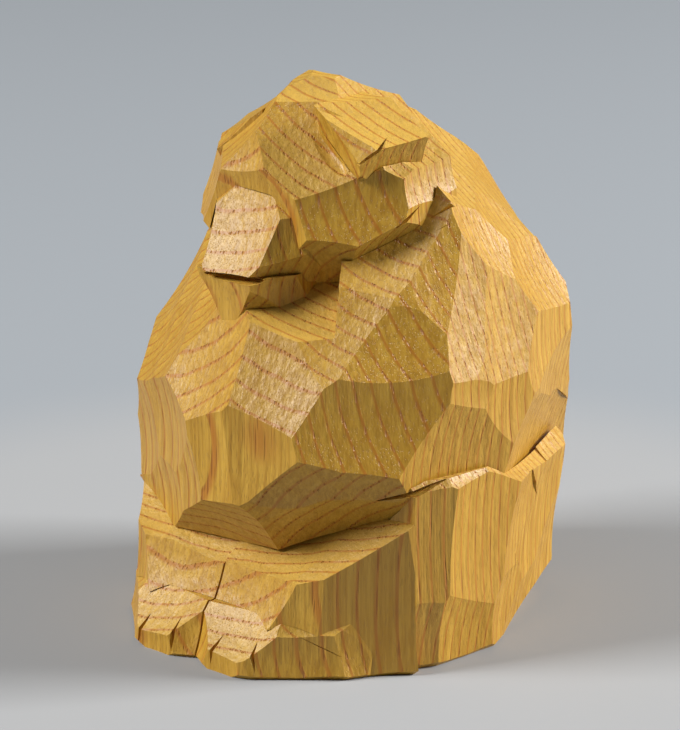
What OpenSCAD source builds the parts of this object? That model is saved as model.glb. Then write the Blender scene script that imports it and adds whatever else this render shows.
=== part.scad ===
/* [Block] */
// Width of the block, elbow to elbow
block_w = 80; // [66:1:96]
// Depth of the block, toes to rump
block_d = 90; // [75:1:108]
// Height of the block
block_h = 110; // [92:1:132]
// Bevel where the wood meets the table
base_bevel = 1; // [0.5:0.25:2.5]

/* [Head] */
// Width of the head at the cheeks
head_w = 52; // [43:1:56]
// Height of the head, cheek to crown
head_h = 48; // [42:1:54]
// Width of the muzzle
muzzle_w = 26; // [21:1:31]
// Width of one ear
ear_w = 17; // [14:0.5:20]
// Height of one ear
ear_h = 14; // [11.5:0.5:17]
// How much lower the right ear sits than the left one
right_ear_drop = 3; // [0:0.5:5]

/* [Limbs] */
// Height of the ledge between the elbows and the haunches
ledge_z = 38; // [32:0.5:45]
// Height of the lowest point of the hanging paws
paw_z = 21; // [18:0.5:25]
// Height of one knee
knee_h = 38; // [32:0.5:45]
// Width of one foot
foot_w = 31; // [26:0.5:33]
// Height of one foot
foot_h = 11; // [9:0.5:14]
// Gap between the two legs
leg_gap = 0.5; // [0.5:0.25:3]

/* [Hidden] */

// A cutting block larger than anything it cuts
far = 400;
// Growth of each form over the size at which its flats were set out
k_block = [block_w / 80, block_d / 90, block_h / 110];
k_head = [head_w / 52, 1, head_h / 48];
k_muzzle = [muzzle_w / 26, 1, 1];
k_ear = [ear_w / 17, 1, ear_h / 14];
k_knee = [1, 1, knee_h / 38];
k_foot = [foot_w / 31, 1, foot_h / 11];
k_none = [1, 1, 1];

// Centres of the forms
block_c = [0, 0, 0];
head_c = [0, -12, 88];
muzzle_c = [-1, -25, 81];
jaw_c = [-1, -23, 69.5];
ear_c = [16 * k_head[0], -12, 88 + 13 * k_head[2]];
knee_c = [18, -30, 14 * k_knee[2]];
foot_c = [15 * k_foot[0] + leg_gap / 2, -34, 0];

// Where the block divides: behind the arms, beside and behind the paws, under the neck, before and
// behind the legs, and inside and behind the haunches
arm_back_y = 5;
arm_inner_x = 13;
paw_back_y = -14;
paw_turn = 124;
neck_flat = [36, -4, 80];
chin_flat = [9, -22, 71.5];
leg_front_y = -40;
leg_back_y = -20;
haunch_inner_x = 12;
haunch_back_y = 8;

// Flats closer to upright than this get a bevel at the table
bevel_below = 20;

function times(a, b) = [a[0] * b[0], a[1] * b[1], a[2] * b[2]];
function other_side(f) = [[-f[0][0], f[0][1], f[0][2]], -f[1], f[2]];
function facing(az, el) = [cos(el) * sin(az), -cos(el) * cos(az), sin(el)];

// Everything beyond the point p on the side that faces az and el. Azimuth 0 faces the front,
// 90 the left side of the bear, 180 the back; elevation 90 faces up.
module beyond(p, az, el) {
    translate(p)
        rotate([0, 0, az - 90])
            rotate([0, -el, 0])
                translate([0, -far / 2, -far / 2])
                    cube(far);
}

// The same, with its point given at the size at which the flats were set out
module past(p, az, el = 0) { beyond(times(p, k_block), az, el); }

// A 45 degree bevel at the table, under the flat that goes through p
module table_bevel(p, az, el) {
    reach = (facing(az, el) * p) / cos(el) - base_bevel;
    beyond(reach * facing(az, 0), az, -45);
}

// What is left of the children after each flat [point from the centre c, az, el] is cut. The
// children are one convex lump and stay one.
module hewn(c, grow, flats, stands = false) {
    hull() difference() {
        children();
        for (f = flats) {
            p = times(c + times(f[0], grow), k_block);
            beyond(p, f[1], f[2]);
            if (stands && abs(f[2]) < bevel_below) table_bevel(p, f[1], f[2]);
        }
    }
}

// A box between two corners, given from the centre c
module blank(c, grow, lo, hi) {
    a = times(c + times(lo, grow), k_block);
    b = times(c + times(hi, grow), k_block);
    translate(a) cube(b - a);
}

module mirrored() { mirror([1, 0, 0]) children(); }
module left_half() { translate([0, -far / 2, -far / 2]) cube(far); }
module block() { translate([-block_w / 2, -block_d / 2, 0]) cube([block_w, block_d, block_h]); }

// Flats of the upper body: paw and chest, arm, side and shoulder, nape, back
front_upper = [
    [[12, -40, 43], 12, 2], [[14, -39, 51], 22, 28], [[12, -27, 71], 30, 36],
    [[26, -17.5, 74], 50, 24], [[31, -21, 62], 51, 12], [[32, -27, 50], 48, -2],
    [[28, -30, 39.5], 42, -32], [[5, -37, 28], 8, -42],
    [[-13, -36, 40], -26, -3], [[-5, -38.5, 52], -12, 26], [[-20, -29, 56], -38, 34],
    [[-31, -22, 69.5], -52, 28], [[-35.5, -20.5, 50], -56, 6], [[-12, -28, 69], -12, 42]];
side_upper = [
    [[35.5, -4, 72], 88, 14], [[39.5, -4, 58], 86, 4], [[39, -8, ledge_z + 8], 80, -10],
    [[32.5, 13, 75], 112, 32], [[37.5, 18, 52], 106, 3], [[33.5, 20, ledge_z + 3], 112, -14],
    [[31, -3, 86], 76, 40], [[27, 5, 91], 90, 46], [[19, 7, 97], 88, 54],
    [[22, 15, 86], 122, 44], [[9, 12, 100], 140, 64],
    [[22, 31, 74], 144, 32], [[26, 36, 54], 140, 6]];
back_upper = [[[0, 19, 97], 180, 52], [[0, 38, 78], 180, 32], [[0, 44, 58], 180, 5]];

// Flats of the lower body: thigh, hip, flank, rump, then the bevels of the ledge
side_lower = [
    [[31, -27.5, 15], 50, 1], [[38, -17.5, 22], 66, 2], [[40.5, 0, 20], 91, 0],
    [[39.5, -3, 8], 86, -9], [[36.5, -18, 6], 64, -9], [[34.5, 18, 22], 112, -6],
    [[36, 16, 6.5], 122, -38], [[24, 36, 24], 145, -6], [[21, 35, 5], 150, -38],
    [[39.5, -2, ledge_z - 0.5], 86, 42], [[34, 18, ledge_z - 3.5], 112, 42],
    [[24, 36, ledge_z - 3.5], 145, 42], [[37, -17, ledge_z - 1], 64, 40]];
back_lower = [[[0, 45, 24], 180, 0], [[0, 40, 6], 180, -36]];

// Flats of the head: crown, forehead, left side, right side, underside
head_flats = [
    [[3, -4, 20.5], 0, 76], [[6, 5, 21.5], 50, 74], [[-6, 5, 21], -50, 70],
    [[0, 6, 22], 180, 64], [[0, -11, 15], 2, 52], [[0, -13.5, 8], -4, 20], [[0, -13.5, -2], 0, -6],
    [[9, -10, 7], 36, 38], [[9, -7, 13.5], 34, 54], [[13, -12, -1], 44, 14],
    [[22.5, -8, 0], 60, 14], [[25.5, 1, 2], 88, 15], [[24, -1.5, 5], 68, 48], [[17, 2, 12], 80, 52],
    [[-13, -13, -2], -44, 16], [[-25, -8, -7], -60, 13], [[-11, -9, 8], -40, 38],
    [[-25.5, 2, 0], -88, 20], [[-15, -2, 11], -66, 50],
    [[13, -12.5, -6.5], 38, -34], [[-13, -12, -9], -38, -36],
    [[23, -4, -4.5], 75, -40], [[-24, -4, -8], -75, -44]];
muzzle_flats = [
    [[0, -3, 6.5], 3, 50], [[0, -8, -5], 3, 29], [[0, -9, -6], 3, -4],
    [[9.5, -2, 2], 52, 14], [[-9, -2, 2], -48, 14],
    [[7, -2, 6], 50, 46], [[-7, -2, 6], -50, 46], [[8.5, -4, -5], 62, -28],
    [[-8, -4, -5], -62, -28], [[0, -6, -6.5], 15, -78]];
jaw_flats = [
    [[0, -9, -2], -4, -8], [[5, -8, -1], 50, -34], [[-5, -8, -1], -50, -30], [[0, -9, -7], 10, -60],
    [[8, -6, 0], 68, -12], [[-8, -6, 0], -68, -12]];
ear_flats = [
    [[0, 1, 3.5], 60, 55], [[4, -6, -4], 35, 34], [[4, -6, -4], -15, -17],
    [[4, -6, -4], 75, -22], [[8, 1, -2], 80, 0], [[4, -3, -7], 50, -45]];

// Flats of one left leg and one left foot
knee_flats = [
    [[0, -6, 4.5], -6, 57], [[3, -4, 10.5], 0, 64], [[15, 5.5, 18], 34, 40],
    [[13, 2.5, 1], 50, 1], [[20, 12.5, 8], 66, 2], [[5, -5.5, -2], 28, 4],
    [[-6, -8.5, -3], -5, 24]];
foot_flats = [
    [[0, -6, 8.5], 5, 44], [[3, -8.5, 3], 26, 6], [[-12, -10, 3], -30, 14],
    [[14.5, 3, 3], 42, 7], [[12, -1, 3], 64, 12], [[9, -4, 6], 40, 42]];

both_sides = function (flats) concat(flats, [for (f = flats) other_side(f)]);

module upper() {
    hewn(block_c, k_none, concat(front_upper, both_sides(side_upper), back_upper))
        blank(block_c, k_none, [-40, -41, paw_z], [40, 45, 105]);
}
module lower() {
    hewn(block_c, k_none, concat(both_sides(side_lower), back_lower), stands = true)
        blank(block_c, k_none, [-40, leg_back_y, 0], [40, 45, ledge_z]);
}
module head_form() {
    hewn(head_c, k_head, head_flats)
        intersection() {
            block();
            blank(head_c, k_head, [-27, -16, -24], [26, 15, 23]);
        }
}
module muzzle_form() {
    hewn(muzzle_c, k_muzzle, muzzle_flats)
        blank(muzzle_c, k_muzzle, [-13, -9, -8], [13, 14, 12]);
}
module jaw_form() {
    hewn(jaw_c, k_muzzle, jaw_flats) blank(jaw_c, k_muzzle, [-9, -12, -9], [11, 12, 5.5]);
}
module left_ear_form() {
    hewn(ear_c, k_ear, ear_flats) blank(ear_c, k_ear, [-8, -8, -8], [9, 8, 6]);
}
module right_ear_form() {
    mirrored() translate([-2.5 * k_block[0], 0, -right_ear_drop * k_block[2]]) left_ear_form();
}
module left_leg_form() {
    hewn(knee_c, k_knee, knee_flats, stands = true)
        blank([0, 0, 0], k_none, [leg_gap / 2, leg_front_y, 0], [40, leg_back_y, knee_h]);
}
module left_foot_form() {
    hewn(foot_c, k_foot, foot_flats, stands = true)
        blank([leg_gap / 2, 0, 0], k_foot, [0, -45, 0], [31, -12, 11]);
}

// Regions that share out the upper and the lower body
module neck_region() {
    past(neck_flat, 78, 62);
    mirrored() past(neck_flat, 78, 62);
}
module arm_region() {
    intersection() {
        past([0, arm_back_y, 0], 0);
        past([arm_inner_x, paw_back_y, 0], paw_turn);
        past([arm_inner_x, 0, 0], 90);
    }
}
module paw_region() {
    intersection() {
        left_half();
        past([0, paw_back_y, 0], 0);
        past([arm_inner_x, paw_back_y, 0], paw_turn - 180);
    }
}
module limb_region() {
    past([0, paw_back_y, 0], 0);
    intersection() {
        past([arm_inner_x, 0, 0], 90);
        past([0, arm_back_y, 0], 0);
    }
    intersection() {
        past([-arm_inner_x, 0, 0], -90);
        past([0, arm_back_y, 0], 0);
    }
}
module haunch_region() {
    intersection() {
        past([haunch_inner_x, 0, 0], 90);
        past([0, haunch_back_y, 0], 0);
    }
}

module head() {
    color("peru") difference() {
        head_form();
        muzzle_form();
        jaw_form();
        left_ear_form();
        right_ear_form();
    }
}
module muzzle() { color("burlywood") muzzle_form(); }
module lower_jaw() {
    color("tan") difference() {
        jaw_form();
        muzzle_form();
    }
}
module left_ear() { color("goldenrod") left_ear_form(); }
module right_ear() {
    color("goldenrod") difference() {
        right_ear_form();
        muzzle_form();
    }
}

module neck() {
    color("tan") difference() {
        intersection() {
            upper();
            neck_region();
        }
        head_form();
        muzzle_form();
        jaw_form();
        left_ear_form();
        right_ear_form();
    }
}
module left_arm() {
    color("burlywood") difference() {
        intersection() {
            upper();
            arm_region();
        }
        neck_region();
        head_form();
        left_leg_form();
    }
}
module right_arm() {
    color("burlywood") difference() {
        intersection() {
            upper();
            mirrored() arm_region();
        }
        neck_region();
        head_form();
        right_ear_form();
        mirrored() left_leg_form();
    }
}
module left_paw() {
    color("wheat") difference() {
        intersection() {
            upper();
            paw_region();
        }
        past(chin_flat, 34, 58);
        head_form();
        muzzle_form();
        jaw_form();
        left_leg_form();
    }
}
module right_paw() {
    color("wheat") difference() {
        intersection() {
            upper();
            mirrored() paw_region();
        }
        head_form();
        muzzle_form();
        jaw_form();
        mirrored() left_leg_form();
    }
}
module torso() {
    color("tan") difference() {
        upper();
        neck_region();
        limb_region();
        head_form();
        muzzle_form();
        jaw_form();
        left_ear_form();
        right_ear_form();
    }
}
module belly() {
    color("peru") difference() {
        lower();
        upper();
        past([0, haunch_back_y, 0], 180);
        haunch_region();
        left_foot_form();
        mirrored() {
            haunch_region();
            left_foot_form();
        }
    }
}
module rump() {
    color("burlywood") difference() {
        lower();
        upper();
        past([0, haunch_back_y, 0], 0);
    }
}
module left_haunch() {
    color("tan") difference() {
        intersection() {
            lower();
            haunch_region();
        }
        upper();
        left_foot_form();
    }
}
module right_haunch() {
    color("tan") difference() {
        intersection() {
            lower();
            mirrored() haunch_region();
        }
        upper();
        mirrored() left_foot_form();
    }
}
module left_shin() {
    color("burlywood") difference() {
        left_leg_form();
        left_foot_form();
    }
}
module right_shin() {
    color("burlywood") mirrored() difference() {
        left_leg_form();
        left_foot_form();
    }
}
module left_foot() { color("wheat") left_foot_form(); }
module right_foot() { color("wheat") mirrored() left_foot_form(); }

head();
muzzle();
lower_jaw();
left_ear();
right_ear();
neck();
torso();
left_arm();
right_arm();
left_paw();
right_paw();
belly();
rump();
left_haunch();
right_haunch();
left_shin();
right_shin();
left_foot();
right_foot();
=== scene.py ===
import math
import random

import bpy
import numpy as np
from mathutils import Matrix, Vector
from mathutils.bvhtree import BVHTree
from mathutils.kdtree import KDTree


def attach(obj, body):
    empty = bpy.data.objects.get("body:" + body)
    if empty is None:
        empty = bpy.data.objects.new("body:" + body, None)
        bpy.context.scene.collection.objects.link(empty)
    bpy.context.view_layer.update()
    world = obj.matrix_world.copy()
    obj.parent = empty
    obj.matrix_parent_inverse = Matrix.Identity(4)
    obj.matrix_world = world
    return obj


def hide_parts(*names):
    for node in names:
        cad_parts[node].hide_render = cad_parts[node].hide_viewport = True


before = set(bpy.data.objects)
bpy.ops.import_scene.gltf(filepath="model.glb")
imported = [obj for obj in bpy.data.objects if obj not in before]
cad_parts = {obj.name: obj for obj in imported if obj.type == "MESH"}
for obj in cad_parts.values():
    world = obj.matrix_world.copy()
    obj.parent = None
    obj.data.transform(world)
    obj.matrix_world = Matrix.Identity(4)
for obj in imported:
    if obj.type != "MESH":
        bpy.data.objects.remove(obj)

bl_info = {
    "name": "Carved Bear",
    "version": (1, 0, 0),
    "blender": (4, 5, 0),
    "location": "View3D > Sidebar > Carved Bear",
    "description": "Carves and shades the sitting bear on its packed CAD frame",
    "category": "Object",
}

# Lengths are in metres; the knife cuts are laid out in millimetres
MM = 0.001
# Points nearer than this are one point, and smaller triangles (square metres) are left out
WELD = 2e-6
SMALLEST_TRIANGLE = 1e-8
# Triangles belong to one plane if their normals and their reach agree this well
SAME_WAY = 0.99998
SAME_REACH = 2e-5
# A facet is in the open if no other form holds the points this far above it
PROBES = (0.0003, 0.0009)
BOX_MARGIN = 1e-4
# A slanting ray, its step past a surface, and the most surfaces it is followed through
RAY = Vector((0.31, 0.52, 0.795)).normalized()
RAY_STEP = 1e-7
MOST_HITS = 40
# Facets that face down more than this are the base, and aren't carved
FACES_DOWN = -0.9
# Fewer samples than this make no stroke, and samples this many spacings apart hang together
FEWEST_SAMPLES = 4
GROUP_REACH = 2.4
# A stroke's cutter is wider than its hollow by this factor, and stands this far over the wood
STROKE_MARGIN = 1.25
STROKE_CLEARANCE = 0.004
# The round sheet, the point that the lights aim at, and the one that the camera aims at
SHEET_RADIUS = 5.0
HEART = Vector((0, 0, 0.05))
AIM = Vector((0.0195, -0.0205, 0.055))


class GougeSettings(bpy.types.PropertyGroup):
    """How the gouge leaves the wood."""

    hollow: bpy.props.FloatProperty(
        name="Hollow",
        description="Depth of one gouge stroke as a share of half its width",
        default=0.12,
        min=0.0,
        max=0.2,
    )
    deepest: bpy.props.FloatProperty(
        name="Deepest",
        description="Greatest depth of one gouge stroke",
        default=0.0013,
        unit="LENGTH",
    )
    overrun: bpy.props.FloatProperty(
        name="Overrun",
        description="How far a stroke runs past its facet, as a share of the facet",
        default=1.3,
        min=1.0,
        max=2.0,
    )
    stroke_width: bpy.props.FloatProperty(
        name="Stroke width",
        description="Usual width of one stroke",
        default=0.0135,
        unit="LENGTH",
    )
    stroke_length: bpy.props.FloatProperty(
        name="Stroke length",
        description="Usual length of one stroke",
        default=0.021,
        unit="LENGTH",
    )
    sway: bpy.props.FloatProperty(
        name="Sway",
        description="How much strokes side by side on one facet lean apart",
        default=math.radians(5.0),
        subtype="ANGLE",
    )
    seed: bpy.props.IntProperty(
        name="Seed", description="Which run of the hand the strokes follow", default=7
    )
    spacing: bpy.props.FloatProperty(
        name="Sample spacing",
        description="Distance between the points that find the facets in the open",
        default=0.0018,
        unit="LENGTH",
    )
    crease: bpy.props.FloatProperty(
        name="Crease angle",
        description="Two cuts that meet at more than this angle leave a crisp ridge",
        default=math.radians(5.0),
        subtype="ANGLE",
    )


class WoodSettings(bpy.types.PropertyGroup):
    """The ring-porous hardwood of the block."""

    pith: bpy.props.FloatVectorProperty(
        name="Pith",
        description="Where the upright centre line of the tree stood",
        default=(-0.028, 0.178, 0.0),
        subtype="XYZ",
        unit="LENGTH",
    )
    ring: bpy.props.FloatProperty(
        name="Ring width",
        description="Width of one year's growth",
        default=0.0021,
        unit="LENGTH",
    )
    pore: bpy.props.FloatProperty(
        name="Pore pitch",
        description="Distance between the large spring pores",
        default=0.00055,
        unit="LENGTH",
    )
    pale: bpy.props.FloatVectorProperty(
        name="Summer wood",
        description="Colour between the ring lines",
        default=(0.63, 0.36, 0.040),
        subtype="COLOR",
    )
    deep: bpy.props.FloatVectorProperty(
        name="Fibre",
        description="Colour of the darker fibres",
        default=(0.44, 0.218, 0.012),
        subtype="COLOR",
    )
    line: bpy.props.FloatVectorProperty(
        name="Spring wood",
        description="Colour of the porous ring lines",
        default=(0.44, 0.155, 0.007),
        subtype="COLOR",
    )
    pore_colour: bpy.props.FloatVectorProperty(
        name="Pores",
        description="Colour inside the large spring pores",
        default=(0.30, 0.09, 0.004),
        subtype="COLOR",
    )
    fleck_colour: bpy.props.FloatVectorProperty(
        name="Flecks",
        description="Colour of the small pores between the ring lines",
        default=(0.33, 0.16, 0.035),
        subtype="COLOR",
    )
    end_grain: bpy.props.FloatVectorProperty(
        name="End grain",
        description="Colour of wood cut across the grain",
        default=(0.66, 0.42, 0.075),
        subtype="COLOR",
    )
    roughness: bpy.props.FloatProperty(
        name="Roughness",
        description="Sheen of the knife-cut surface, lower is shinier",
        default=0.36,
        min=0.0,
        max=1.0,
    )


class StageSettings(bpy.types.PropertyGroup):
    """Camera, paper and lights."""

    azimuth: bpy.props.FloatProperty(
        name="Azimuth",
        description="Direction of the camera, from the front towards the bear's left",
        default=math.radians(43.0),
        subtype="ANGLE",
    )
    elevation: bpy.props.FloatProperty(
        name="Elevation",
        description="Height of the camera over the horizon",
        default=math.radians(16.5),
        subtype="ANGLE",
    )
    distance: bpy.props.FloatProperty(
        name="Distance",
        description="From the camera to the point it looks at",
        default=0.7,
        unit="LENGTH",
    )
    lens: bpy.props.FloatProperty(
        name="Lens",
        description="Focal length in millimetres on a sensor 36 mm high",
        default=181.9,
    )
    paper: bpy.props.FloatVectorProperty(
        name="Paper",
        description="Colour of the floor",
        default=(0.335, 0.34, 0.345),
        subtype="COLOR",
    )
    # Colour of the paper farther from the figure, painted darker and bluer: painted shade standing
    # in for the light falling off behind the figure.
    far_paper_shade: bpy.props.FloatVectorProperty(
        name="Backdrop",
        description="Colour of the paper behind",
        default=(0.285, 0.305, 0.325),
        subtype="COLOR",
    )


# ---------------------------------------------------------------- node expressions


class Value:
    """One socket of a node tree. Arithmetic on values adds Math nodes."""

    def __init__(self, tree, socket=None):
        self.tree = tree
        self.socket = socket

    def node(self, kind, settings=None, inputs=None, output=0):
        """A node of any kind: its settings first, then the values or links of its sockets."""
        made = self.tree.nodes.new(kind)
        for name, value in (settings or {}).items():
            setattr(made, name, value)
        for key, value in (inputs or {}).items():
            if isinstance(value, Value):
                self.tree.links.new(value.socket, made.inputs[key])
            else:
                made.inputs[key].default_value = value
        return Value(self.tree, made.outputs[output])

    def into(self, shader, name):
        """Links this value to a socket of the shader."""
        self.tree.links.new(self.socket, shader.inputs[name])

    def math(self, operation, first, second=0.0):
        return self.node("ShaderNodeMath", {"operation": operation}, {0: first, 1: second})

    def __add__(self, other):
        return self.math("ADD", self, other)

    def __radd__(self, other):
        return self.math("ADD", other, self)

    def __sub__(self, other):
        return self.math("SUBTRACT", self, other)

    def __rsub__(self, other):
        return self.math("SUBTRACT", other, self)

    def __mul__(self, other):
        return self.math("MULTIPLY", self, other)

    def __rmul__(self, other):
        return self.math("MULTIPLY", other, self)

    def __truediv__(self, other):
        return self.math("DIVIDE", self, other)

    def __abs__(self):
        return self.math("ABSOLUTE", self)

    def fraction(self):
        return self.math("FRACT", self)

    def step(self, low, high):
        """0 below low, 1 above high, smooth between. Low may be above high."""
        turned = low > high
        made = self.node(
            "ShaderNodeMapRange",
            {"interpolation_type": "SMOOTHSTEP", "clamp": True},
            {"Value": self, "From Min": min(low, high), "From Max": max(low, high)},
        )
        return 1 - made if turned else made

    def scaled(self, x, y, z):
        """A position stretched by a factor for each axis."""
        return self.node(
            "ShaderNodeVectorMath", {"operation": "MULTIPLY"}, {0: self, 1: (x, y, z)}
        )

    def noise(self, detail=2.0, roughness=0.5):
        """Smooth noise at this position, about 0.5."""
        return self.node(
            "ShaderNodeTexNoise",
            {},
            {"Vector": self, "Scale": 1.0, "Detail": detail, "Roughness": roughness},
        )

    def blend(self, under, over):
        """Colour under where this value is 0 and over where it is 1."""
        return self.node(
            "ShaderNodeMix",
            {"data_type": "RGBA", "clamp_factor": True},
            {0: self, 6: under, 7: over},
            2,
        )


def rgba(colour):
    return (*colour, 1.0)


def new_material(name):
    """A material, its shader, a value to build nodes from, and the place in the piece."""
    material = bpy.data.materials.new(name)
    material.use_nodes = True
    start = Value(material.node_tree)
    place = start.node("ShaderNodeTexCoord", output="Object")
    return material, material.node_tree.nodes["Principled BSDF"], start, place


def wood_material(wood):
    """Hardwood in three dimensions: rings round the pith, spring pores along the grain, fibres."""
    material, shader, start, place = new_material("carved_wood")
    turn = start.node("ShaderNodeTexCoord", output="Normal")
    upright = abs(turn.node("ShaderNodeSeparateXYZ", {}, {0: turn}, "Z"))
    end = upright.step(0.45, 0.9)

    # Scales are in cycles per metre, across the grain twice and then along it.
    # Rings wander slowly, so their lines swing on every facet.
    wander = place.scaled(22, 22, 9).noise(2.0) - 0.5
    ripple = place.scaled(120, 120, 25).noise(2.0) - 0.5
    across = start.node(
        "ShaderNodeVectorMath",
        {"operation": "SUBTRACT"},
        {0: place.scaled(1, 1, 0), 1: tuple(wood.pith)},
    )
    radius = start.node("ShaderNodeVectorMath", {"operation": "LENGTH"}, {0: across}, "Value")
    year = radius / wood.ring + wander * 1.9 + ripple * 0.45
    part = year.fraction()
    # The spring line starts sharply on the side of the pith and fades outwards
    spring = part.step(0.0, 0.05) * part.step(0.27, 0.11)
    summer = part.step(0.2, 0.95)

    # Large pores stand in the spring wood and run along the grain
    dots = start.node(
        "ShaderNodeTexVoronoi",
        {"voronoi_dimensions": "3D", "feature": "F1"},
        {
            "Vector": place.scaled(1 / wood.pore, 1 / wood.pore, 90),
            "Scale": 1.0,
            "Randomness": 0.85,
        },
        "Distance",
    )
    pores = dots.step(0.42, 0.2) * spring
    small = start.node(
        "ShaderNodeTexVoronoi",
        {"voronoi_dimensions": "3D", "feature": "F1"},
        {"Vector": place.scaled(4200, 4200, 260), "Scale": 1.0, "Randomness": 1.0},
        "Distance",
    )
    flecks = small.step(0.3, 0.1) * (1 - spring)

    fibre = place.scaled(1700, 1700, 60).noise(4.0, 0.65)
    streak = place.scaled(700, 700, 22).noise(2.0, 0.55)
    cloud = place.scaled(45, 45, 18).noise(2.0)

    tone = fibre.step(0.40, 0.62) * 0.65 + streak.step(0.38, 0.66) * 0.5
    base = tone.blend(rgba(wood.pale), rgba(wood.deep))
    base = (summer * 0.3).blend(base, rgba(wood.deep))
    base = (end * 0.55).blend(base, rgba(wood.end_grain))
    base = (cloud.step(0.42, 0.7) * 0.28).blend(base, rgba(wood.deep))
    base = (spring * (0.62 + fibre * 0.4)).blend(base, rgba(wood.line))
    base = (pores * 0.6).blend(base, rgba(wood.pore_colour))
    base = (flecks * 0.3).blend(base, rgba(wood.fleck_colour))
    base.into(shader, "Base Color")

    rough = wood.roughness + fibre * 0.16 + pores * 0.2 + end * 0.06
    rough.into(shader, "Roughness")
    shader.inputs["Specular IOR Level"].default_value = 0.6

    # Open pores, raised fibres and the faint chatter of the blade, as heights in metres
    chatter = place.scaled(420, 420, 300).noise(2.0)
    height = (
        fibre * 0.00009 + streak * 0.00022 + chatter * 0.00018 - pores * 0.00014 - flecks * 0.00006
    )
    bump = start.node(
        "ShaderNodeBump", {}, {"Height": height, "Strength": 1.0, "Distance": 1.0}, "Normal"
    )
    bump.into(shader, "Normal")
    return material


# ---------------------------------------------------------------- carving


def mesh_object(name, vertices, faces):
    """A plain object from points in metres and their faces."""
    mesh = bpy.data.meshes.new(name)
    mesh.from_pydata([tuple(v) for v in vertices], [], [tuple(f) for f in faces])
    mesh.update()
    made = bpy.data.objects.new(name, mesh)
    bpy.context.scene.collection.objects.link(made)
    return made


def welded(node):
    """Points and triangles of a CAD node, with the points of neighbouring triangles shared."""
    mesh = node.data
    mesh.calc_loop_triangles()
    points = []
    index = {}
    place = []
    for v in mesh.vertices:
        key = tuple(round(c / WELD) for c in v.co)
        if key not in index:
            index[key] = len(points)
            points.append(Vector(v.co))
        place.append(index[key])
    triangles = []
    for t in mesh.loop_triangles:
        corner = [place[i] for i in t.vertices]
        if len(set(corner)) == 3:
            triangles.append(corner)
    return points, triangles


def holds(tree, point):
    """True if the closed surface in the tree has the point inside."""
    hits = 0
    at = point
    while hits < MOST_HITS:
        found = tree.ray_cast(at, RAY)[0]
        if found is None:
            break
        hits += 1
        at = found + RAY * RAY_STEP
    return hits % 2 == 1


def open_samples(shapes, spacing):
    """For each plane of the body: points of it in the open, its normal, and the nodes it is on."""
    trees = {
        name: BVHTree.FromPolygons(points, triangles)
        for name, (points, triangles) in shapes.items()
    }
    boxes = {
        name: (np.array(points).min(0) - BOX_MARGIN, np.array(points).max(0) + BOX_MARGIN)
        for name, (points, triangles) in shapes.items()
    }
    planes = []
    for name, (points, triangles) in shapes.items():
        for a, b, c in ([points[i] for i in t] for t in triangles):
            normal = (b - a).cross(c - a)
            area = normal.length / 2
            if area < SMALLEST_TRIANGLE:
                continue
            normal.normalize()
            reach = normal.dot((a + b + c) / 3)
            for plane in planes:
                same_way = plane["normal"].dot(normal) > SAME_WAY
                if same_way and abs(plane["reach"] - reach) < SAME_REACH:
                    break
            else:
                plane = {"normal": normal, "reach": reach, "points": [], "nodes": []}
                planes.append(plane)
            count = max(1, int(math.sqrt(2 * area) / spacing))
            for i in range(count):
                for j in range(count - i):
                    u = (i + 1 / 3) / count
                    v = (j + 1 / 3) / count
                    point = a + (b - a) * u + (c - a) * v
                    hidden = any(
                        other != name
                        and (boxes[other][0] < probe).all()
                        and (boxes[other][1] > probe).all()
                        and holds(trees[other], probe)
                        for other in shapes
                        for probe in (point + normal * out for out in PROBES)
                    )
                    if not hidden:
                        plane["points"].append(point)
                        plane["nodes"].append(name)
    return [p for p in planes if len(p["points"]) > 2]


def patches(points, reach):
    """Splits points into the groups that hang together."""
    tree = KDTree(len(points))
    for i, p in enumerate(points):
        tree.insert(p, i)
    tree.balance()
    left = set(range(len(points)))
    groups = []
    while left:
        group = [left.pop()]
        for i in group:
            for _, j, _ in tree.find_range(points[i], reach):
                if j in left:
                    left.remove(j)
                    group.append(j)
        groups.append(group)
    return groups


def stroke(name, centre, normal, along, half_length, half_width, depth, cells=26):
    """A closed cutter whose underside is one shallow hollow in the plane through centre."""
    across = normal.cross(along)
    row = cells + 1
    ticks = [STROKE_MARGIN * (2 * k / cells - 1) for k in range(row)]
    under, over = [], []
    for u in ticks:
        for v in ticks:
            flat = centre + along * (u * half_length) + across * (v * half_width)
            under.append(flat + normal * (depth * (u * u + v * v - 1)))
            over.append(flat + normal * STROKE_CLEARANCE)
    faces = []
    base = row * row
    for i in range(cells):
        for j in range(cells):
            a, b, c, d = i * row + j, (i + 1) * row + j, (i + 1) * row + j + 1, i * row + j + 1
            faces.append((a, d, c, b))
            faces.append((base + a, base + b, base + c, base + d))
    rim = [i * row for i in range(row)]
    rim += [cells * row + j for j in range(1, row)]
    rim += [i * row + cells for i in range(cells - 1, -1, -1)]
    rim += list(range(cells - 1, 0, -1))
    for k, a in enumerate(rim):
        b = rim[(k + 1) % len(rim)]
        faces.append((a, b, base + b, base + a))
    return mesh_object(name, under + over, faces)


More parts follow.
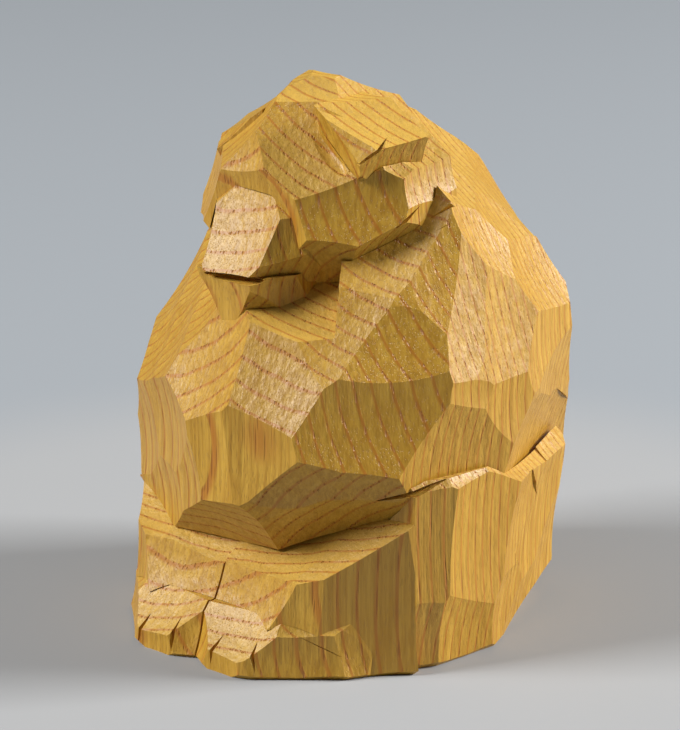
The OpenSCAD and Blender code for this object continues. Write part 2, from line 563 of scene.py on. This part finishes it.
def strokes_of(planes, gouge):
    """One cutter for each facet in the open, or a row of them on a broad facet."""
    made = []
    hand = random.Random(gouge.seed)
    for plane in planes:
        normal = plane["normal"]
        if normal.z < FACES_DOWN:
            continue
        for group in patches(plane["points"], gouge.spacing * GROUP_REACH):
            if len(group) < FEWEST_SAMPLES:
                continue
            places = np.array([plane["points"][i] for i in group])
            owners = sorted({plane["nodes"][i] for i in group})
            middle = places.mean(0)
            spread = np.linalg.svd(places - middle, full_matrices=False)[2]
            along = Vector(spread[0])
            along = (along - normal * along.dot(normal)).normalized()
            across = normal.cross(along)
            us = (places - middle) @ np.array(along)
            vs = (places - middle) @ np.array(across)
            centre = Vector(middle) + along * ((us.max() + us.min()) / 2)
            centre += across * ((vs.max() + vs.min()) / 2)
            half_length = (us.max() - us.min()) / 2 + gouge.spacing / 2
            half_width = (vs.max() - vs.min()) / 2 + gouge.spacing / 2
            lanes = max(1, round(2 * half_width / gouge.stroke_width))
            steps = max(1, round(2 * half_length / gouge.stroke_length))
            lane, reach = half_width / lanes, half_length / steps
            depth = min(gouge.hollow * lane, gouge.deepest)
            for k in range(lanes * steps):
                sway = 0.0 if lanes * steps == 1 else gouge.sway
                lean = Matrix.Rotation(hand.uniform(-sway, sway), 3, along)
                lean = Matrix.Rotation(hand.uniform(-sway, sway), 3, across) @ lean
                at = centre + across * (lane * (2 * (k % lanes) + 1 - lanes))
                at += along * (reach * (2 * (k // lanes) + 1 - steps))
                cutter = stroke(
                    f"stroke_{len(made)}",
                    at,
                    lean @ normal,
                    lean @ along,
                    reach * gouge.overrun,
                    lane * gouge.overrun,
                    depth,
                )
                made.append((cutter, owners))
    return made


def wedge(name, start, finish, depth_way, width, depth):
    """A V-shaped knife cut from start to finish, pointed at both ends. All in millimetres."""
    a, b = Vector(start) * MM, Vector(finish) * MM
    along = (b - a).normalized()
    side = along.cross(Vector(depth_way)).normalized()
    down = side.cross(along)
    rings = 12
    vertices, faces = [], []
    for k in range(rings + 1):
        t = k / rings
        swell = math.sqrt(max(0.0, 1 - (2 * t - 1) ** 2)) * 0.98 + 0.02
        middle = a.lerp(b, t)
        top = middle - down * (depth * MM * 0.6)
        vertices.append(top + side * (width * MM * swell * 0.8))
        vertices.append(middle + down * (depth * MM * swell))
        vertices.append(top - side * (width * MM * swell * 0.8))
    for k in range(rings):
        for i in range(3):
            j = (i + 1) % 3
            faces.append((3 * k + i, 3 * k + j, 3 * k + 3 + j, 3 * k + 3 + i))
    faces.append((2, 1, 0))
    faces.append((3 * rings, 3 * rings + 1, 3 * rings + 2))
    return mesh_object(name, vertices, faces)


def scoop(name, centre, size, turn=(0, 0, 0)):
    """An egg-shaped cut. Centre and half sizes in millimetres, turn in degrees."""
    vertices, faces = [], []
    rings, sides = 18, 32
    spin = Matrix.Rotation(math.radians(turn[2]), 3, "Z")
    spin = spin @ Matrix.Rotation(math.radians(turn[1]), 3, "Y")
    spin = spin @ Matrix.Rotation(math.radians(turn[0]), 3, "X")
    for i in range(1, rings):
        tilt = math.pi * i / rings
        for j in range(sides):
            a = 2 * math.pi * j / sides
            p = Vector(
                (
                    size[0] * math.sin(tilt) * math.cos(a),
                    size[1] * math.sin(tilt) * math.sin(a),
                    size[2] * math.cos(tilt),
                )
            )
            vertices.append((spin @ p + Vector(centre)) * MM)
    north, south = len(vertices), len(vertices) + 1
    vertices.append((spin @ Vector((0, 0, size[2])) + Vector(centre)) * MM)
    vertices.append((spin @ Vector((0, 0, -size[2])) + Vector(centre)) * MM)
    for i in range(rings - 2):
        for j in range(sides):
            k = (j + 1) % sides
            faces.append((i * sides + j, (i + 1) * sides + j, (i + 1) * sides + k, i * sides + k))
    for j in range(sides):
        k = (j + 1) % sides
        faces.append((north, j, k))
        faces.append((south, (rings - 2) * sides + k, (rings - 2) * sides + j))
    return mesh_object(name, vertices, faces)


def outward(obj):
    """Turns the faces of a closed mesh outwards."""
    mesh = obj.data
    volume = 0.0
    mesh.calc_loop_triangles()
    for t in mesh.loop_triangles:
        a, b, c = (mesh.vertices[i].co for i in t.vertices)
        volume += a.dot(b.cross(c))
    if volume < 0:
        mesh.flip_normals()


def knife_cuts():
    """The small cuts that the flats don't hold: (cutter, nodes it goes into)."""
    return [
        # Mouth, under the overhanging lip
        (scoop("mouth", (0.5, -32.6, 74.2), (8, 3.6, 0.8), (0, -3, 3)), ["muzzle", "lower_jaw"]),
        (wedge("mouth_line", (-7.5, -33, 74.2), (8.5, -31, 75), (0.1, 1, 0.05), 1.0, 5),
         ["muzzle", "lower_jaw"]),
        # Fold of the left ear, the groove in front of it and the notch behind it
        (wedge("ear_fold", (19.5, -19, 96.2), (25.5, -9.5, 102.8), (-0.87, 0.5, 0.1), 0.9, 4),
         ["left_ear"]),
        (scoop("ear_groove", (10.8, -18.2, 98.6), (7.5, 2.6, 1.8), (0, 40, 0)), ["head"]),
        (wedge("ear_front", (7.5, -17.6, 102.5), (17, -17.2, 94), (0, 1, -0.1), 0.7, 2.2),
         ["head", "left_ear"]),
        (wedge("right_ear_front", (-5, -17.6, 99.5), (-14.5, -17.2, 91), (0, 1, -0.1), 0.7, 2.2),
         ["head", "right_ear"]),
        (wedge("ear_crease", (9, -18, 105), (19, -5, 108.5), (0.3, -0.3, -0.9), 0.9, 2.2),
         ["head", "left_ear"]),
        (wedge("right_ear_crease", (-6.5, -18, 102), (-17, -5, 105), (-0.3, -0.3, -0.9), 0.9, 2.2),
         ["head", "right_ear"]),
        # Stepped cuts of the neck
        (wedge("neck_a", (24.5, -13.5, 84), (30, -2, 93), (-0.9, 0.4, -0.2), 0.8, 1.6),
         ["head", "neck", "left_arm"]),
        (wedge("neck_b", (27, -12, 80.5), (34, -4, 84), (-0.6, 0.5, -0.6), 0.7, 1.4),
         ["neck", "left_arm"]),
        (wedge("neck_c", (28, -9, 83), (33, -2, 87), (-0.6, 0.5, -0.6), 0.7, 1.4),
         ["neck", "left_arm", "torso"]),
        (wedge("neck_d", (26, -8, 85), (32, 2, 90), (-0.6, 0.4, -0.7), 0.7, 1.2),
         ["neck", "left_arm", "torso"]),
        # Slit between the left elbow and the thigh
        (wedge("elbow", (30, -25, 34), (39.5, -13, 38.2), (-0.8, 0.6, 0.0), 0.9, 4),
         ["left_arm", "left_haunch", "left_shin"]),
        # Toes
        (wedge("toe_a", (-5, -42, 8.5), (-4.5, -45.4, 0.5), (0, 1, -0.35), 0.6, 2),
         ["right_foot"]),
        (wedge("toe_b", (-13, -42, 6), (-13.5, -45.4, 0.5), (0, 1, -0.3), 0.6, 1.8),
         ["right_foot"]),
        (wedge("toe_c", (7, -42.5, 8), (6, -45.6, 1), (0, 1, -0.3), 0.7, 2), ["left_foot"]),
        (wedge("toe_d", (15, -41, 7), (16.5, -44.5, 0.8), (0, 1, -0.3), 0.5, 1.4), ["left_foot"]),
        # Groove between the left foot and the shin
        (wedge("instep", (21, -39, 10), (33, -30, 3), (-0.5, 0.6, -0.3), 0.8, 2),
         ["left_foot", "left_shin"]),
    ]


def carve(piece, cutters, crease):
    """Cuts every cutter out of the piece, then lets only crisp ridges stay sharp."""
    for cutter in cutters:
        cut = piece.modifiers.new(cutter.name, "BOOLEAN")
        cut.operation = "DIFFERENCE"
        cut.solver = "MANIFOLD"
        cut.object = cutter
    graph = bpy.context.evaluated_depsgraph_get()
    carved = bpy.data.meshes.new_from_object(piece.evaluated_get(graph))
    piece.modifiers.clear()
    before = piece.data
    piece.data = carved
    bpy.data.meshes.remove(before)
    carved.materials.clear()
    carved.shade_smooth()
    carved.set_sharp_from_angle(angle=crease)


class BEAR_OT_carve(bpy.types.Operator):
    """Builds one carved wooden piece for each form of the figurine"""

    bl_idname = "bear.carve"
    bl_label = "Carve the bear"

    def execute(self, context):
        gouge = context.scene.bear_gouge
        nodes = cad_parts
        shapes = {name: welded(node) for name, node in nodes.items()}
        planes = open_samples(shapes, gouge.spacing)
        cutters = strokes_of(planes, gouge) + knife_cuts()
        for cutter, owners in cutters:
            outward(cutter)
        material = wood_material(context.scene.bear_wood)
        for name, (points, triangles) in shapes.items():
            piece = mesh_object("carved_" + name, points, triangles)
            outward(piece)
            carve(piece, [c for c, owners in cutters if name in owners], gouge.crease)
            piece.data.materials.append(material)
            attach(piece, "root")
            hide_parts(name)
        for cutter, owners in cutters:
            bpy.data.meshes.remove(cutter.data)
        return {"FINISHED"}


# ---------------------------------------------------------------- stage


def paper_material(name, near, beyond, r_near, r_beyond):
    """Matt paper whose colour changes softly with the distance from the middle; the darker, bluer
    colour farther out is painted shade, the light falling off away from the figure.
    """
    material, shader, start, place = new_material(name)
    radius = start.node("ShaderNodeVectorMath", {"operation": "LENGTH"}, {0: place}, "Value")
    colour = radius.step(r_near, r_beyond).blend(rgba(near), rgba(beyond))
    colour.into(shader, "Base Color")
    shader.inputs["Roughness"].default_value = 0.85
    shader.inputs["Specular IOR Level"].default_value = 0.2
    return material


def area_light(name, offset, size, power):
    """A rectangular light at an offset from the heart of the figure, turned towards it."""
    light = bpy.data.lights.new(name, "AREA")
    light.shape = "RECTANGLE"
    light.size, light.size_y = size
    light.energy = power
    made = bpy.data.objects.new(name, light)
    made.location = HEART + offset
    made.rotation_euler = (-offset).to_track_quat("-Z", "Y").to_euler()
    bpy.context.scene.collection.objects.link(made)


class BEAR_OT_stage(bpy.types.Operator):
    """Sets up the paper, the soft lights and the camera"""

    bl_idname = "bear.stage"
    bl_label = "Set the stage"

    def execute(self, context):
        stage = context.scene.bear_stage
        az, el = stage.azimuth, stage.elevation
        back = Vector((math.sin(az) * math.cos(el), -math.cos(az) * math.cos(el), math.sin(el)))
        right = Vector((math.cos(az), math.sin(az), 0))
        up = back.cross(right)

        # One wide round sheet of paper, seen behind the figure from every side
        sides = 96
        rim = [2 * math.pi * k / sides for k in range(sides)]
        points = [SHEET_RADIUS * Vector((math.cos(a), math.sin(a), 0)) for a in rim]
        paper = mesh_object("paper", points, [range(sides)])
        # The paper keeps its lit colour near the figure and turns to painted shade farther out.
        paper.data.materials.append(
            paper_material("paper", stage.paper, stage.far_paper_shade, 0.11, 0.17)
        )

        aim = AIM - right * 0.0015 + up * 0.0032
        lift = Vector((0, 0, 1))
        area_light("key", -right * 1.7 + back * 0.36 + lift * 1.25, (0.8, 0.8), 57.0)
        area_light("rim", right * 1.55 - back * 0.1 + lift * 0.85, (0.55, 0.75), 50.0)
        area_light("top", lift * 2.2, (1.8, 1.8), 4.0)
        world = bpy.data.worlds.new("studio")
        world.use_nodes = True
        surround = world.node_tree.nodes["Background"]
        surround.inputs["Color"].default_value = (0.86, 0.92, 1.0, 1.0)
        surround.inputs["Strength"].default_value = 0.06
        context.scene.world = world
        context.scene.view_settings.view_transform = "Standard"

        camera = bpy.data.cameras.new("camera")
        camera.sensor_fit = "VERTICAL"
        camera.sensor_height = 36.0
        camera.lens = stage.lens
        camera.clip_start = 0.05
        camera.clip_end = 20.0
        eye = bpy.data.objects.new("camera", camera)
        turn = Matrix((right, up, back)).transposed()
        eye.matrix_world = Matrix.Translation(aim + back * stage.distance) @ turn.to_4x4()
        context.scene.collection.objects.link(eye)
        context.scene.camera = eye
        return {"FINISHED"}


class BEAR_PT_panel(bpy.types.Panel):
    """Sidebar panel of the figurine"""

    bl_idname = "BEAR_PT_panel"
    bl_label = "Carved Bear"
    bl_space_type = "VIEW_3D"
    bl_region_type = "UI"
    bl_category = "Carved Bear"

    def draw(self, context):
        layout = self.layout
        for group in (context.scene.bear_gouge, context.scene.bear_wood, context.scene.bear_stage):
            box = layout.box()
            for name in group.bl_rna.properties.keys():
                if name not in ("rna_type", "name"):
                    box.prop(group, name)
        layout.operator(BEAR_OT_carve.bl_idname)
        layout.operator(BEAR_OT_stage.bl_idname)


CLASSES = (
    GougeSettings,
    WoodSettings,
    StageSettings,
    BEAR_OT_carve,
    BEAR_OT_stage,
    BEAR_PT_panel,
)


def register():
    for cls in CLASSES:
        bpy.utils.register_class(cls)
    bpy.types.Scene.bear_gouge = bpy.props.PointerProperty(type=GougeSettings)
    bpy.types.Scene.bear_wood = bpy.props.PointerProperty(type=WoodSettings)
    bpy.types.Scene.bear_stage = bpy.props.PointerProperty(type=StageSettings)


def unregister():
    del bpy.types.Scene.bear_stage
    del bpy.types.Scene.bear_wood
    del bpy.types.Scene.bear_gouge
    for cls in reversed(CLASSES):
        bpy.utils.unregister_class(cls)


def main():
    register()
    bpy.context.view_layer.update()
    bpy.ops.bear.carve()
    bpy.ops.bear.stage()


if __name__ == "__main__":
    main()
